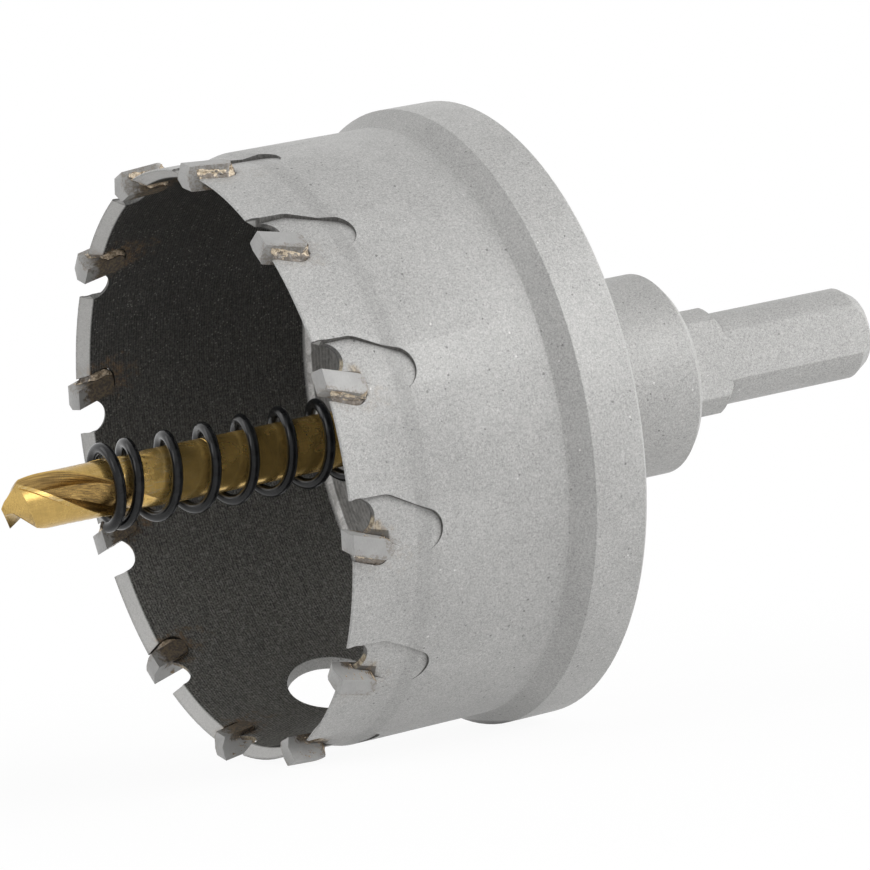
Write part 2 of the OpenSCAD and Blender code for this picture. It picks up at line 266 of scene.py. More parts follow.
# How strongly each layer of the blasted steel changes its level
CLOUD, PATCH, GRAIN, FINE_GRAIN = 0.035, 0.03, 0.34, 0.30
DARK_SPOT, NICK, SCUFF = -0.45, 0.55, 0.14
# bumps as a depth in mm and a strength
BLAST_BUMP, GROOVE_BUMP, RING_BUMP = (0.035, 0.55), (0.035, 0.8), (0.03, 0.8)
CARBIDE_BUMP, BRAZE_BUMP, GOLD_BUMP = (0.012, 0.6), (0.13, 0.8), (0.010, 0.7)
FLUTE_BUMP, BLACK_BUMP = (0.03, 0.7), (0.02, 0.5)
# radii of rounded edges in mm, and how metallic each material is
CUP_ROUND, ARBOR_ROUND, TIP_ROUND = 0.16, 0.22, 0.07
STEEL_METAL, CARBIDE_METAL, BRAZE_METAL, SKIN_METAL, GOLD_METAL = 0.36, 0.30, 0.5, 0.3, 0.78
# turning marks as a scale, distortion, detail and scale of the detail
BORE_MARKS, FLOOR_MARKS, FRONT_MARKS = (1.05, 1.4, 3, 0.6), (0.42, 0.9, 4, 2.5), (0.42, 0.9, 4, 1.0)

# Places on the tool in mm, along it from the rim or as a radius
RIM_BEVEL, BAND_L, BAND_SLOPE, POCKET_END = 1.3, 7.4, 1.5, 11.5
FLANGE_SLOPE_T = FLANGE_T - 2.3
DRILL_HOLE_R, DRILL_HOLE_END = 3.2, 60.0
# where the drill's flutes get painted shade, where they run out, and its margins
FLUTE_T, RUN_OUT_T, FLUTE_R, MARGIN_R = -22.2, -8.0, 2.70, 2.86
# where the coil's rub and painted highlight start
SPRING_RUB_HIGHLIGHT_R = 4.45


def material(name):
    return Graph(bpy.data.materials.new(name))


def spots(g, at, scale, seed, size, where, share):
    """Scattered round spots, only where a noise lies above a share."""
    return g.mul(g.fade(g.cells(at, scale, seed), *size), g.ramp(where, *share))


def blasted(g, at, tone):
    """Colour, roughness and bump height of sand-blasted steel, with specks, pits and faint scratches."""
    cloud = g.noise(at, 0.13, 3, 0.55)
    patch = g.noise(at, 0.7, 4, 0.62, shift=(7, 3, 1))
    grain = g.noise(at, 4.2, 3, 0.75)
    fine = g.noise(at, 9.0, 2, 0.7, shift=(31, 17, 5))
    level = g.plus(g.sway(cloud, CLOUD), g.sway(patch, PATCH))
    level = g.plus(level, g.ramp(grain, 0.25, 0.75, -GRAIN, GRAIN, "LINEAR"))
    level = g.plus(level, g.ramp(fine, 0.25, 0.75, -FINE_GRAIN, FINE_GRAIN, "LINEAR"))
    specks = g.noise(at, 0.5, 1, 0.5, shift=(3, 9, 2))
    specks = spots(g, at, 0.9, 3.0, (0.06, 0.14), specks, (0.44, 0.60))
    nicks = g.noise(at, 0.35, 1, 0.5, shift=(13, 5, 8))
    nicks = spots(g, at, 0.45, 11.0, (0.03, 0.07), nicks, (0.44, 0.56))
    pits = g.noise(at, 0.16, 2, 0.6, shift=(21, 4, 7))
    pits = spots(g, at, 0.55, 23.0, (0.05, 0.11), pits, (0.50, 0.58))
    dark = g.most(specks, pits)
    scuff = g.noise(at, 1.6, 3, 0.7, 0.6, stretch=(1, 1, 4.5), shift=(5, 1, 0))
    level = g.plus(level, g.mul(dark, DARK_SPOT))
    level = g.plus(level, g.mul(nicks, NICK))
    level = g.plus(level, g.mul(g.ramp(scuff, 0.66, 0.73), SCUFF))
    color = g.tint(tone, g.plus(level, 1.0))
    height = g.plus(g.mul(grain, 0.65), g.mul(fine, 0.35))
    height = g.plus(height, g.mul(dark, -0.6))
    return color, g.vary(grain, 0.52, 0.68), height


def facing(g, at, radius):
    """How far a face looks outwards, along the tool and round it, each from 0 to 1."""
    normal = g.add("ShaderNodeNewGeometry").outputs["True Normal"]
    normal = g.made("ShaderNodeVectorTransform", {0: normal}, vector_type="NORMAL",
                    convert_from="WORLD", convert_to="OBJECT")
    normal = g.made("ShaderNodeMapping", {0: normal, 2: (0, TURN, 0)}, vector_type="TEXTURE")
    across = g.vmath("MULTIPLY", at, (1, 1, 0))
    out = g.math("DIVIDE", g.vmath("DOT_PRODUCT", normal, across), radius)
    along = g.math("ABSOLUTE", g.parts(normal)[2])
    rest = g.minus(1.0, g.mul_add(out, out, g.mul(along, along)))
    return g.math("ABSOLUTE", out), along, g.math("SQRT", g.most(rest, 0.0))


def near_tip(g, t, angle):
    """Distance in mm from the middle of the nearest tip, against the cut."""
    turn = g.minus(g.math("MODULO", angle, STEP), STEP / 2)
    return g.minus(g.mul(turn, math.pi / 180 * CUP_R), g.mul(t, math.tan(RAKE)))


def with_brass(g, color, at, t, radius, across, wobble, milled_and_shaded_wall, cut):
    """Adds brass that ran onto the gullet wall and the outer face, and a dark line round each tip."""
    ran = g.mul(g.between(across, -2.9, -2.3, -0.7, -0.4), milled_and_shaded_wall)
    ran = g.mul(ran, g.ramp(g.plus(t, g.sway(wobble, 0.4)), 1.5, 2.3), g.fade(t, 4.6, 5.2))
    color = g.mix(g.mul(ran, 0.85), color, g.mix(g.ramp(cut, 0.35, 0.6), *RAN_BRASS))
    lip = g.ramp(g.plus(across, g.sway(wobble, 0.5)), -2.3, -1.7)
    lip = g.mul(lip, g.fade(across, -1.2, -0.9), g.between(t, 2.2, 2.8, 3.7, 4.6))
    lip = g.mul(lip, g.ramp(g.noise(at, 0.35, 1, 0.5, shift=(8, 2, 5)), 0.42, 0.58))
    color = g.mix(g.mul(lip, 0.8), color, g.mix(g.ramp(cut, 0.4, 0.6), *LIP_BRASS))
    beside = g.mul(g.minus(g.math("ABSOLUTE", across), TIP_T / 2), 1.8)
    gap = g.most(beside, g.minus(t, ROOT_T))
    joint = g.mul(g.fade(gap, 0.32, 0.48), g.ramp(radius, BORE_R + 0.2, BORE_R + 0.35))
    return g.mix(g.mul(joint, g.ramp(t, 1.5, 2.5), 0.8), color, JOINT_LINE)


def heat_stain(g, t, across, wobble):
    """Share of the brown stain round the brazed joints."""
    dx = g.math("DIVIDE", g.minus(across, 1.0), 2.3)
    dt = g.math("DIVIDE", g.minus(t, 2.4), 4.0)
    far = g.math("SQRT", g.mul_add(dx, dx, g.mul(dt, dt)))
    return g.fade(g.plus(far, g.ramp(wobble, 0.25, 0.75, -0.75, 0.55)), 0.35, 1.05)


def bore_color(g, at, angle, stain, blot, groove):
    """The turned and blackened wall of the bore, with painted light on its lower side, painted glints and
    stains.
    """
    grain = g.noise(at, 4.2, 3, 0.75, shift=(1, 8, 3))
    streak = g.noise(at, 0.55, 4, 0.65, stretch=(1, 1, 9), shift=(4, 4, 4))
    level = g.ramp(grain, 0.44, 0.70, 0.62, 2.7, "LINEAR")
    level = g.plus(level, g.vary(streak, -0.22, 0.28))
    level = g.plus(level, g.mul(g.minus(groove, 0.5), 0.62))
    # painted light: the lower side of the bore is made lighter
    painted_light_low = g.fade(g.math("ABSOLUTE", g.minus(angle, 25.0)), 20.0, 110.0)
    color = g.tint(BORE_SOOT, g.mul(level, g.mul_add(painted_light_low, 2.4, 1.0)))
    # painted glints
    painted_glints = g.noise(at, 0.8, 2, 0.5, shift=(6, 2, 9))
    painted_glints = spots(g, at, 2.3, 5.0, (0.12, 0.30), painted_glints, (0.36, 0.62))
    color = g.mix(painted_glints, color, BORE_PAINTED_GLINT)
    return g.mix(g.mul(stain, g.mul_add(blot, 0.8, 0.1)), color, BORE_STAIN)


def cup_material():
    g = material("blasted_cup")
    at, t, radius, angle = g.space()
    steel, rough, height = blasted(g, at, CUP_STEEL)
    across = near_tip(g, t, angle)
    wobble = g.noise(at, 0.9, 3, 0.65, shift=(2, 4, 6))
    # milled walls of the gullets and chip pockets, darker in their own tone and with painted shade
    out, along, sideways = facing(g, at, radius)
    milled_and_shaded_wall = g.mul(g.fade(out, 0.60, 0.86), g.fade(t, POCKET_END, POCKET_END + 1))
    milled_and_shaded_wall = g.mul(milled_and_shaded_wall, g.most(g.ramp(t, 1.5, 1.8), g.ramp(sideways, 0.3, 0.5)))
    cut = g.noise(at, 1.6, 4, 0.7, stretch=(1, 1, 3), shift=(2, 6, 2))
    color = g.mix(g.mul(milled_and_shaded_wall, 0.92), steel, g.mix(g.ramp(cut, 0.35, 0.65), *MILLED_WALL_AND_SHADE))
    color = with_brass(g, color, at, t, radius, across, wobble, milled_and_shaded_wall, cut)
    # painted shade: the slopes behind the mouth band and in front of the flange are a little darker
    slope_end = BAND_L + BAND_SLOPE
    shaded_slope = g.between(t, BAND_L - 0.2, BAND_L + 0.2, slope_end - 0.2, slope_end + 0.2)
    shaded_flange_slope = g.mul(g.ramp(t, FLANGE_SLOPE_T + 0.1, FLANGE_SLOPE_T + 0.4), g.ramp(along, 0.25, 0.5))
    color = g.mix(g.mul(g.most(shaded_slope, shaded_flange_slope), 0.14), color, PAINTED_SLOPE_SHADE)
    # heat stains, stronger inside than outside
    stain = heat_stain(g, t, across, wobble)
    blot = g.ramp(g.noise(at, 2.6, 3, 0.7, shift=(9, 1, 4)), 0.38, 0.62)
    inside = g.fade(radius, BAND_R - 0.5, BAND_R - 0.15)
    brown = g.mul(stain, g.mul_add(blot, 0.75, 0.25), g.mul_add(inside, 0.55, 0.16))
    color = g.mix(brown, color, g.mix(blot, *HEAT_BROWN))
    # the bright bevel inside the rim
    bevel = g.mul(g.fade(t, RIM_BEVEL - 0.15, RIM_BEVEL), g.fade(radius, BAND_R - 0.35, BAND_R - 0.15))
    color = g.mix(g.mul(bevel, 0.45), color, BEVEL_BRIGHT)
    # the wall of the bore, between the rim's bevel and the floor
    wall = g.fade(radius, BORE_R + 0.05, BORE_R + 0.15)
    wall = g.mul(wall, g.between(t, RIM_BEVEL - 0.15, RIM_BEVEL + 0.02, FLOOR_T - 0.75, FLOOR_T - 0.55))
    groove = g.wave("BANDS", at, *BORE_MARKS)
    color = g.mix(wall, color, bore_color(g, at, angle, stain, blot, groove))
    # the turned floor
    floor = g.fade(radius, BORE_R - 0.35, BORE_R - 0.2)
    floor = g.mul(floor, g.between(t, FLOOR_T - 0.7, FLOOR_T - 0.5, CUP_L - 1, CUP_L - 0.5))
    rings = g.wave("RINGS", at, *FLOOR_MARKS)
    cloudy = g.noise(at, 0.9, 5, 0.75, 0.8, shift=(3, 1, 9))
    turned = g.mul_add(rings, 0.26, g.ramp(cloudy, 0.34, 0.66, 0.0, 0.62))
    color = g.mix(floor, color, g.mix(turned, *TURNED_FLOOR))
    # the bore is smoother and isn't bright metal, and corners get painted shade
    rough = g.plus(rough, g.mul(wall, -0.20))
    rough = g.plus(rough, g.mul(floor, -0.25))
    metal = g.mul(g.ramp(wall, 0.0, 1.0, STEEL_METAL, 0.0), g.mul_add(milled_and_shaded_wall, -0.8, 1.0))
    color = g.mix(g.most(g.painted_corner_shade(0.9, 0.8), g.mul(wall, 0.7)), CUP_CORNER_SHADE, color)
    normal = g.bump(height, *BLAST_BUMP, g.rounded(CUP_ROUND))
    normal = g.bump(g.mul(groove, wall), *GROOVE_BUMP, normal)
    normal = g.bump(g.mul(rings, floor), *RING_BUMP, normal)
    return g.finish(color, rough, normal, metal)


def arbor_material():
    g = material("blasted_arbor")
    at, t, radius, _ = g.space()
    steel, rough, height = blasted(g, at, ARBOR_STEEL)
    # the turned front face round the drill, and painted shade in the hole that holds it
    front = g.mul(g.fade(t, SEAT_T + 0.2, SEAT_T + 0.4), g.ramp(radius, 2.0, 2.4))
    rings = g.wave("RINGS", at, *FRONT_MARKS)
    smear = g.vary(g.noise(at, 0.9, 4, 0.7, 0.5, shift=(3, 1, 9)), 0.0, 0.5)
    color = g.mix(front, steel, g.mix(g.mul_add(rings, 0.5, smear), *TURNED_FRONT))
    shaded_hole = g.fade(radius, DRILL_HOLE_R, DRILL_HOLE_R + 0.3)
    shaded_hole = g.mul(shaded_hole, g.fade(t, DRILL_HOLE_END, DRILL_HOLE_END + 1))
    color = g.mix(shaded_hole, color, HOLE_PAINTED_SHADE)
    # painted shade in narrow corners
    color = g.mix(g.painted_corner_shade(1.4, 0.55), ARBOR_CORNER_SHADE, color)
    normal = g.bump(height, *BLAST_BUMP, g.rounded(ARBOR_ROUND))
    return g.finish(color, rough, normal, STEEL_METAL)


def carbide_material():
    g = material("ground_carbide")
    at, t, radius, angle = g.space()
    across = near_tip(g, t, angle)
    lines = g.noise(at, 2.4, 3, 0.6, stretch=(1, 1, 14))
    fine = g.noise(at, 7.0, 3, 0.7)
    cloud = g.noise(at, 0.5, 2, 0.5)
    level = g.plus(g.vary(lines, 0.92, 1.06), g.sway(fine, 0.03))
    color = g.tint(CARBIDE, g.plus(level, g.sway(cloud, 0.06)))
    # dirt from brazing by the joint and at the root, and darker inner faces
    wobble = g.noise(at, 1.7, 3, 0.7, shift=(3, 3, 3))
    beside = g.ramp(g.plus(across, g.vary(wobble, -0.5, 0.4)), 0.75, 1.25)
    ragged = g.plus(t, g.sway(wobble, 0.5))
    dirt = g.mul(g.most(beside, g.ramp(ragged, 3.1, 3.7)), 0.55)
    inner = g.mul(g.fade(radius, BORE_R + 0.1, BORE_R + 0.6), g.ramp(ragged, 0.0, 1.0))
    blot = g.ramp(g.noise(at, 3.0, 3, 0.7, shift=(5, 5, 1)), 0.42, 0.58, 0.15, 1.0)
    color = g.mix(g.mul(dirt, blot), color, CARBIDE_DIRT)
    color = g.mix(g.mul(inner, 0.92), color, g.mix(blot, *CARBIDE_INNER_DARK))
    normal = g.bump(g.plus(lines, g.mul(fine, 0.4)), *CARBIDE_BUMP, g.rounded(TIP_ROUND))
    rough = g.vary(fine, 0.48, 0.60)
    return g.finish(color, rough, normal, g.mul_add(inner, -CARBIDE_METAL, CARBIDE_METAL))


def braze_material():
    g = material("brazing_alloy")
    at, t, radius, angle = g.space()
    lump = g.noise(at, 1.9, 4, 0.7, 0.4)
    grit = g.noise(at, 6.0, 3, 0.75, shift=(4, 2, 7))
    color = g.mix(g.ramp(lump, 0.36, 0.62), *BRAZE)
    color = g.mix(g.ramp(grit, 0.58, 0.72), color, BRAZE_GRIT_LIGHT)
    color = g.mix(g.ramp(grit, 0.42, 0.30), color, BRAZE_GRIT_DARK)
    # the bead thins out behind the tip to a bright edge and steel-coloured skin, and is dark at the root
    edge = g.noise(at, 1.7, 3, 0.7, shift=(6, 1, 3))
    edge = g.plus(near_tip(g, t, angle), g.sway(edge, 0.34))
    color = g.mix(g.mul(g.between(edge, 1.22, 1.36, 1.58, 1.70), 0.75), color, BRAZE_EDGE)
    root = g.ramp(t, ROOT_T - 0.08, ROOT_T + 0.04)
    color = g.mix(g.mul(root, 0.85), color, BRAZE_ROOT)
    skin = g.ramp(edge, 1.58, 1.72)
    steel, _, _ = blasted(g, at, CUP_STEEL)
    skin_color = g.mix(g.ramp(lump, 0.40, 0.85), BRAZE_SKIN, steel)
    color = g.mix(g.mul(skin, g.ramp(radius, BORE_R + 0.1, BORE_R + 0.3)), color, skin_color)
    normal = g.bump(g.plus(g.mul(lump, 0.6), g.mul(grit, 0.4)), *BRAZE_BUMP)
    rough = g.vary(grit, 0.35, 0.6)
    return g.finish(color, rough, normal, g.ramp(skin, 0.0, 1.0, BRAZE_METAL, SKIN_METAL))


def gold_material():
    g = material("gold_coating")
    at, t, radius, angle = g.space()
    turned = g.noise(at, 1.4, 3, 0.6, stretch=(0.6, 0.6, 9))
    along = g.noise(at, 1.8, 3, 0.6, stretch=(3, 3, 0.35), shift=(1, 2, 3))
    cloud = g.noise(at, 0.35, 3, 0.55, shift=(3, 7, 1))
    # grinding lines that follow the flutes round the drill
    helix = g.math("PINGPONG", g.mul_add(t, -12.0, angle), 180.0)
    helix = {0: g.mul(helix, 0.45), 1: g.mul(radius, 5.0), 2: g.mul(t, 0.25)}
    ground = g.noise(g.made("ShaderNodeCombineXYZ", helix), 1.0, 3, 0.65)
    fluted = g.between(t, FLUTE_T, FLUTE_T + 1.6, RUN_OUT_T, RUN_OUT_T + 5)
    fluted = g.mul(fluted, g.fade(radius, FLUTE_R, FLUTE_R + 0.10))
    level = g.plus(g.vary(turned, 0.90, 1.08), g.sway(along, 0.07))
    level = g.plus(level, g.sway(cloud, 0.12))
    level = g.plus(level, g.mul(fluted, g.ramp(ground, 0.36, 0.64, -0.70, 0.75)))
    # painted light: the shank, where it lies in the shade of the cup, is made brighter
    color = g.tint(GOLD, g.mul(level, g.ramp(t, RUN_OUT_T - 6, RUN_OUT_T + 2, 1.0, 1.55)))
    smudge = g.ramp(g.noise(at, 0.8, 4, 0.7, 0.7, shift=(2, 2, 9)), 0.62, 0.72)
    # painted shade in the flutes
    color = g.mix(g.mul(fluted, 0.60), color, GOLD_FLUTE_SHADE)
    color = g.mix(g.mul(smudge, 0.45), color, GOLD_SMUDGE)
    wear = g.mul(g.ramp(radius, MARGIN_R, MARGIN_R + 0.11), g.ramp(along, 0.52, 0.64))
    wear = g.mul(wear, g.ramp(t, -1.0, -4.0))
    color = g.mix(g.mul(wear, 0.5), color, GOLD_WORN)
    normal = g.bump(g.plus(g.mul(turned, 0.6), g.mul(along, 0.4)), *GOLD_BUMP)
    normal = g.bump(g.mul(ground, fluted), *FLUTE_BUMP, normal)
    return g.finish(color, g.vary(cloud, 0.20, 0.30), normal, GOLD_METAL)


def black_material(name, tone, rough):
    g = material(name)
    at, _, radius, _ = g.space()
    cloud = g.noise(at, 0.8, 4, 0.6)
    drawn = g.noise(at, 5.0, 3, 0.7, shift=(8, 3, 1))
    color = g.mix(g.ramp(cloud, 0.35, 0.7), tone, tuple(2.6 * c for c in tone))
    chip = g.ramp(g.noise(at, 2.4, 3, 0.7, shift=(1, 6, 2)), 0.70, 0.75)
    color = g.mix(chip, color, CHIPPED)
    # a slight rub on the outside of the coil, which also serves as a painted highlight
    rub_and_highlight = g.ramp(radius, SPRING_RUB_HIGHLIGHT_R, SPRING_RUB_HIGHLIGHT_R + 0.23)
    rub_and_highlight = g.mul(rub_and_highlight, g.ramp(cloud, 0.38, 0.62, 0.3, 1.0))
    color = g.mix(g.mul(rub_and_highlight, 0.16), color, RUBBED_AND_HIGHLIGHT)
    normal = g.bump(g.plus(g.mul(cloud, 0.5), g.mul(drawn, 0.5)), *BLACK_BUMP)
    rough = g.vary(drawn, *rough)
    return g.finish(color, rough, normal, 0.0, IOR=1.45, Specular_IOR_Level=0.26)


CUP, ARBOR, TIP = cup_material(), arbor_material(), carbide_material()
BEAD, DRILL = braze_material(), gold_material()
SPRING = black_material("black_spring", SPRING_BLACK, (0.12, 0.22))
SCREW = black_material("black_screw", SCREW_BLACK, (0.35, 0.5))


# Meshes
# angles in degrees above which an edge stays sharp
TIP_EDGE, CUP_EDGE, ARBOR_EDGE, SCREW_EDGE, DRILL_EDGE, SPRING_EDGE = 25, 24, 28, 30, 34, 40


def dress(o, look, angle):
    """Gives a CAD node its material and shades it smoothly up to its real edges. No vertex moves."""
    o.data.materials.clear()
    o.data.materials.append(look)
    weld = o.modifiers.new("weld", "WELD")
    weld.merge_threshold = 0.002 * MM
    for p in o.data.polygons:
        p.use_smooth = True
    if o.data.has_custom_normals:
        with bpy.context.temp_override(object=o, active_object=o, mesh=o.data):
            bpy.ops.mesh.customdata_custom_splitnormals_clear()
    o.modifiers.new("edges", "EDGE_SPLIT").split_angle = math.radians(angle)


def to_mesh(name, bm):
    me = bpy.data.meshes.new(name)
    bm.to_mesh(me)
    bm.free()
    return me


def to_scene(name, data):
    o = bpy.data.objects.new(name, data)
    bpy.context.scene.collection.objects.link(o)
    return o


def new_piece(name, bm, look, body="saw", sharp=None):
    """Adds a visual piece that rides on a body, smooth but for edges sharper than an angle."""
    me = to_mesh(name, bm)
    me.materials.append(look)
    for p in me.polygons:
        p.use_smooth = True
    o = to_scene(name, me)
    if sharp:
        o.modifiers.new("edges", "EDGE_SPLIT").split_angle = math.radians(sharp)
    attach(o, body)
    return o


def join_rings(bm, p, q):
    """Joins two rings of vertices by a band of faces."""
    for k in range(len(p)):
        m = (k + 1) % len(p)
        bm.faces.new((p[k], p[m], q[m], q[k]))


def tube(bm, rings):
    """Joins a row of rings and closes its two ends."""
    bm.faces.new(rings[0][::-1])
    for p, q in zip(rings, rings[1:]):
        join_rings(bm, p, q)
    bm.faces.new(rings[-1])


def settle(bm):
    """Takes a mesh from the tool's own space to the frame and turns its faces outwards."""
    bm.transform(REST)
    bmesh.ops.recalc_face_normals(bm, faces=bm.faces)


# Pilot drill
DRILL_R, DRILL_PITCH, DRILL_PHASE, DRILL_SEAT = 3.0, 30.0, -20, 19
DRILL_END = FLOOR_T + DRILL_SEAT
# the land and the flute, as angles against the cut and a radius, and the core that they leave
LAND_START, LAND_END, FLUTE_ROUND, CORE_R = 43.5, 136.5, 2.04, 0.65
LAND_RELIEF, POINT_ANGLE, POINT_FALL = 0.13, 65, 1.7
MARGIN = (LAND_START, 46, 50, 53.4)
LAND = (54.2, 60, 70, 82, 94, 106, 118, 128, 134, LAND_END)
FLUTED_L, RUN_START, RUN_L = 23.4, 5.5, 12.0
# the small steps at the chisel edge and where the shank begins, and the bevel at its end
CHISEL_STEP, SHANK_STEP, SHANK_BEVEL = 0.02, 0.12, 0.4


def drill_section():
    """The fluted section as (angle, radius): a margin, a relieved land and a flute, twice."""
    half = [(a, DRILL_R) for a in MARGIN] + [(a, DRILL_R - LAND_RELIEF) for a in LAND]
    middle = CORE_R + FLUTE_ROUND
    steps = 26
    for k in range(1, steps):
        a = LAND_END + (LAND_START + 180 - LAND_END) * k / steps
        off = math.radians(abs(a - 180))
        inside = max(FLUTE_ROUND * FLUTE_ROUND - (middle * math.sin(off)) ** 2, 0)
        half.append((a, min(middle * math.cos(off) - math.sqrt(inside), DRILL_R)))
    return half + [(a + 180, r) for a, r in half]


def twist_drill():
    """Two-flute drill with margins, relieved lands and a ground point, inside the CAD drill's form."""
    section = drill_section()
    tip, steps, sides = -REACH, 96, 96
    fluted_end = tip + FLUTED_L
    land = LAND_END - LAND_START

    def at(a, r, z):
        turn = math.radians(a + DRILL_PHASE + 360 * (z - tip) / DRILL_PITCH)
        return (r * math.cos(turn), r * math.sin(turn), z)

    def point_z(a, r):
        """Height of the point's ground face: a cone that falls away behind each cutting edge."""
        behind = (a - LAND_START) % 180
        if behind <= land:
            fall = POINT_FALL * (behind / land) ** 1.5
        else:
            fall = POINT_FALL * (1 - (behind - land) / (180 - land))
        return tip + r / math.tan(math.radians(POINT_ANGLE)) + fall * r / DRILL_R

    def run_out(r, z):
        """Radius of the section where the flutes run out towards the shank."""
        run = min(1.0, max(0.0, (z - (tip + RUN_START)) / RUN_L))
        return r + (DRILL_R - r) * run * run * (3 - 2 * run) if r < DRILL_R - 0.01 else r

    bm = bmesh.new()
    rings = []
    for j in range(steps + 1):
        ring = []
        for a, r in section:
            start = point_z(a, r)
            z = start + (fluted_end - start) * (j / steps)
            ring.append(bm.verts.new(at(a, run_out(r, z), z)))
        rings.append(ring)
    for p, q in zip(rings, rings[1:]):
        join_rings(bm, p, q)
    # the ground point, ring by ring to the chisel edge
    inner = rings[0]
    for share in (0.88, 0.74, 0.58, 0.42, 0.27, 0.14):
        ring = [bm.verts.new(at(a, r * share, point_z(a, r * share))) for a, r in section]
        join_rings(bm, ring, inner)
        inner = ring
    chisel = bm.verts.new((0, 0, tip + CHISEL_STEP))
    for k in range(len(section)):
        bm.faces.new((chisel, inner[(k + 1) % len(section)], inner[k]))
    # the round shank
    profile = ((DRILL_R - SHANK_STEP, fluted_end - 0.05), (DRILL_R, fluted_end + 0.1),
               (DRILL_R, DRILL_END - SHANK_BEVEL), (DRILL_R - SHANK_BEVEL, DRILL_END))
    turns = [2 * math.pi * k / sides for k in range(sides)]
    tube(bm, [[bm.verts.new((r * math.cos(a), r * math.sin(a), z)) for a in turns] for r, z in profile])
    settle(bm)
    o = new_piece("twist_drill", bm, DRILL, sharp=DRILL_EDGE)
    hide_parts("pilot_drill")


# Ejector spring
WIRE_R, COIL_R, SPRING_REACH, SPRING_GAP = 0.6, 4.1, 13.0, 0.05
TURNS, CLOSED_PITCH = 10.5, 1.35


def spring():
    """The coil of round wire, with a closed turn at each end."""
    front, back = WIRE_R - SPRING_REACH, SEAT_T - WIRE_R - SPRING_GAP
    pitch = (back - front - 2 * CLOSED_PITCH) / (TURNS - 2)
    sides, steps, ease = 16, 44, 0.18

    def height(t):
        """Height along the tool after a number of turns."""
        first, last = min(t, 1), max(t - (TURNS - 1), 0)
        return front + (first + last) * CLOSED_PITCH + (t - first - last) * pitch

    def eased(t):
        """The same, with the change of pitch at the closed turns made gradual."""
        if not ease < t < TURNS - ease:
            return height(t)
        return sum(height(min(max(t + ease * k / 4, 0), TURNS)) for k in range(-4, 5)) / 9

    bm = bmesh.new()
    rings = []
    for j in range(int(TURNS * steps) + 1):
        t = j / steps
        a = -2 * math.pi * t
        ring = []
        for k in range(sides):
            b = 2 * math.pi * k / sides
            r = COIL_R + WIRE_R * math.cos(b)
            ring.append(bm.verts.new((r * math.cos(a), r * math.sin(a), eased(t) + WIRE_R * math.sin(b))))
        rings.append(ring)
    tube(bm, rings)
    settle(bm)
    o = new_piece("coil_spring", bm, SPRING, sharp=SPRING_EDGE)
    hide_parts("ejector_spring")
    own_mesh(o)


# Beads of brazing alloy, in mm: away from the tip, a bead thins to the wall, outside and in the bore
BEAD_FULL, BEAD_THIN, BEAD_TOP, BEAD_UNDER, BEAD_LEAST = 1.15, 0.62, 0.98, 0.4, 0.03
# along the tool it is arched, and close to the tip its crest is raised
ARCH_MIDDLE, ARCH_HALF, ARCH_LEAST = 1.9, 2.6, 0.12
RAISE, RAISE_WIDTH, RAISE_ABOVE = 0.12, 0.25, 0.3
# its thin edge feathers out over the wall and ends just under it
FEATHER_START, FEATHER_W, FEATHER_THIN, FEATHER_REACH, FEATHER_LEAST = 0.35, 0.45, 0.22, 0.24, 0.1
FEATHER_END, SKIN_OVER, SKIN_UNDER = 0.72, 0.012, 0.12
# and its surface is lumpy
BEAD_VOXEL, LUMP, FINE_LUMP, LUMP_MIDDLE = 0.09, 0.16, 0.08, 0.04


def bead_place(q, i):
    """Moves a point of the bead: the fillet sinks to the wall behind the tip and feathers out over it."""
    beside = q.y - q.z * math.tan(RAKE) - TIP_T / 2
    away = max(beside, q.z - ROOT_T, 0.0)
    if beside > 0:
        arch = max(1 - ((q.z - ARCH_MIDDLE) / ARCH_HALF) ** 2, ARCH_LEAST)
        q.y -= beside * (1 - math.sqrt(arch))
    keep = min(max(BEAD_FULL - away / BEAD_THIN, 0.0), 1.0)
    r = math.hypot(q.x, q.y)
    if away < RAISE_WIDTH and r > BAND_R + RAISE_ABOVE:
        r += RAISE
    top = BAND_R + BEAD_LEAST + BEAD_TOP * keep
    bottom = BORE_R - BEAD_LEAST - BEAD_UNDER * keep
    goal = min(max(r, bottom), top)
    if away > FEATHER_START and abs(goal - BAND_R) < FEATHER_THIN:
        spread = FEATHER_REACH * (0.8 + 1.1 * noise.noise(Vector((q.y, q.z, i)) * 1.4))
        side = (away - FEATHER_START) / FEATHER_W * max(spread, FEATHER_LEAST)
        q.y += side
        q.z += side / 2
        goal = max(goal, BAND_R + SKIN_OVER) if away < FEATHER_END else BAND_R - SKIN_UNDER
    r = math.hypot(q.x, q.y)
    return Vector((q.x * goal / r, q.y * goal / r, q.z))


